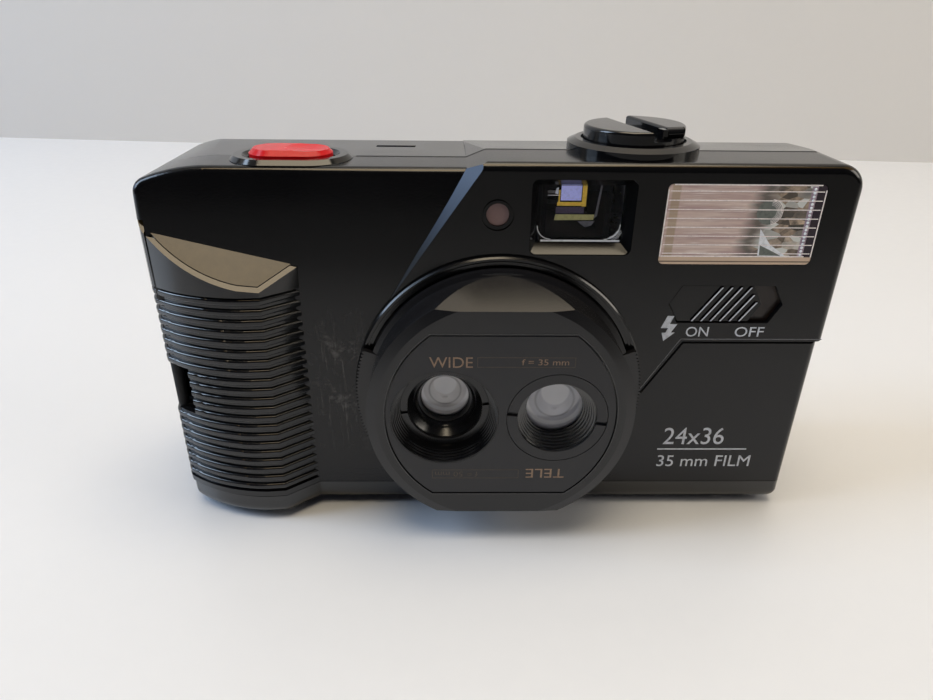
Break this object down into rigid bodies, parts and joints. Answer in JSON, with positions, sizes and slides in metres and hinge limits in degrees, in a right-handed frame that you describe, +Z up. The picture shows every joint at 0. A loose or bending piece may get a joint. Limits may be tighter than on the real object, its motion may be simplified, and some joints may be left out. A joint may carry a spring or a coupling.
{
  "type": "compact camera",
  "caption": "Compact black film camera with a hand grip, a turning turret that carries two lenses side by side, a finder and flash block, and a folding rewind crank",
  "frame": {"origin": "on the table that the feet stand on, below the centre of the whole camera's box", "axes": "+X from the hand grip to the flash, +Y from the lens side to the back, +Z up"},
  "size_m": [0.1316, 0.0474, 0.0801],
  "materials": {
    "black_shell": "satin",
    "black_matte": "matte",
    "red_plastic": "gloss",
    "glass": "clear",
    "smoked_window": "ribbed",
    "steel": "satin",
    "spring_steel": "satin",
    "brass": "satin",
    "mirror_metal": "polished",
    "die_cast": "matte",
    "white_plastic": "matte",
    "circuit_board": "matte",
    "amber_window": "tinted",
    "capacitor_sleeve": "gloss"
  },
  "bodies": {
    "body": {"front_cover": "black_shell", "rear_body": "black_shell", "grip_cover": "black_shell", "base_cover": "black_shell", "tripod_bush": "brass", "feet": "black_matte", "door_hinge_pin": "steel", "chassis": "die_cast", "counter_window": "glass", "turret_mount_ring": "black_shell", "shutter_plate": "black_matte", "button_bezel": "black_shell", "button_spring": "spring_steel", "rewind_base": "black_shell", "finder_hood": "black_shell", "finder_front_lens": "glass", "finder_tunnel": "black_matte", "finder_frame_mask": "brass", "eyepiece_lens": "glass", "eyepiece_bezel": "black_matte", "flash_window": "smoked_window", "flash_reflector": "mirror_metal", "flash_tube": "glass", "flash_capacitor": "capacitor_sleeve", "flash_board": "circuit_board", "switch_tray": "black_matte", "sensor_window": "amber_window", "sensor_cell": "black_matte", "battery_box": "black_matte", "battery_contacts": "steel", "strap_lug": "black_matte", "base_screws": "steel"},
    "turret": {"turret_drum": "black_shell", "turret_face_plate": "black_shell", "turret_retainer": "black_matte", "wide_hood": "black_shell", "wide_spanner_ring": "black_shell", "wide_barrel": "black_shell", "wide_front_lens": "glass", "wide_rear_lens": "glass", "tele_spanner_ring": "black_shell", "tele_barrel": "black_shell", "tele_front_lens": "glass", "tele_rear_lens": "glass"},
    "release_button": {"shutter_button": "red_plastic"},
    "blade": {"shutter_blade": "spring_steel"},
    "switch_slider": {"flash_switch": "black_shell"},
    "rewind_lifter": {"door_latch": "steel"},
    "rewind_spinner": {"rewind_shaft": "steel", "rewind_knob": "black_shell"},
    "crank": {"rewind_crank": "black_shell"},
    "door": {"film_door": "black_shell", "pressure_spring": "spring_steel"},
    "plate": {"pressure_plate": "black_matte"},
    "advance": {"advance_wheel": "black_matte"},
    "spool": {"take_up_spool": "black_matte"},
    "sprocket_drum": {"sprocket": "black_matte"},
    "frame_dial": {"counter_dial": "white_plastic"},
    "battery_flap": {"battery_door": "black_shell"},
    "rewind_release": {"rewind_release_button": "black_matte"}
  },
  "joints": [
    {"name": "turret_turn", "type": "hinge", "parent": "body", "child": "turret", "pos_m": [0.00152, -0.015, 0.03], "axis": [0, 1, 0], "range_deg": [0, 180]},
    {"name": "shutter_press", "type": "slide", "parent": "body", "child": "release_button", "axis": [0, 0, -1], "range_m": [0, 0.0018], "stiffness_N_per_m": 400, "deforming": ["button_spring"]},
    {"name": "blade_swing", "type": "hinge", "parent": "body", "child": "blade", "pos_m": [-0.025, -0.0081, 0.02], "axis": [0, 1, 0], "range_deg": [0, 33]},
    {"name": "flash_slide", "type": "slide", "parent": "body", "child": "switch_slider", "axis": [1, 0, 0], "range_m": [0, 0.0035]},
    {"name": "rewind_lift", "type": "slide", "parent": "body", "child": "rewind_lifter", "axis": [0, 0, 1], "range_m": [0, 0.007]},
    {"name": "rewind_spin", "type": "hinge", "parent": "rewind_lifter", "child": "rewind_spinner", "pos_m": [0.0268, 0.0022, 0.077], "axis": [0, 0, 1], "continuous": true},
    {"name": "crank_fold", "type": "hinge", "parent": "rewind_spinner", "child": "crank", "pos_m": [0.02851, -0.00417, 0.0791], "axis": [0.9659, 0.2588, 0], "range_deg": [0, 140]},
    {"name": "door_swing", "type": "hinge", "parent": "body", "child": "door", "pos_m": [-0.0635, 0.0205, 0.034], "axis": [0, 0, 1], "range_deg": [0, 110]},
    {"name": "plate_press", "type": "slide", "parent": "door", "child": "plate", "axis": [0, 1, 0], "range_m": [0, 0.0005], "stiffness_N_per_m": 800},
    {"name": "advance_turn", "type": "hinge", "parent": "body", "child": "advance", "pos_m": [-0.048, 0.0126, 0.0638], "axis": [0, 0, 1], "continuous": true},
    {"name": "spool_turn", "type": "hinge", "parent": "body", "child": "spool", "pos_m": [-0.05, 0.0045, 0.033], "axis": [0, 0, 1], "continuous": true},
    {"name": "sprocket_turn", "type": "hinge", "parent": "body", "child": "sprocket_drum", "pos_m": [-0.0342, 0.0128, 0.033], "axis": [0, 0, 1], "continuous": true},
    {"name": "counter_turn", "type": "hinge", "parent": "body", "child": "frame_dial", "pos_m": [-0.0245, 0.0117, 0.0698], "axis": [0, 0, 1], "continuous": true},
    {"name": "battery_door_swing", "type": "hinge", "parent": "body", "child": "battery_flap", "pos_m": [0.054, 0.019, 0.00195], "axis": [1, 0, 0], "range_deg": [0, 90]},
    {"name": "rewind_release_press", "type": "slide", "parent": "body", "child": "rewind_release", "axis": [0, 0, 1], "range_m": [0, 0.001], "stiffness_N_per_m": 500}
  ],
  "couplings": [
    {"joint": "blade_swing", "follows": "shutter_press", "rad_per_m": 315},
    {"joint": "spool_turn", "follows": "advance_turn", "ratio": 1},
    {"joint": "sprocket_turn", "follows": "advance_turn", "ratio": -1.7},
    {"joint": "counter_turn", "follows": "advance_turn", "ratio": 0.0425}
  ]
}
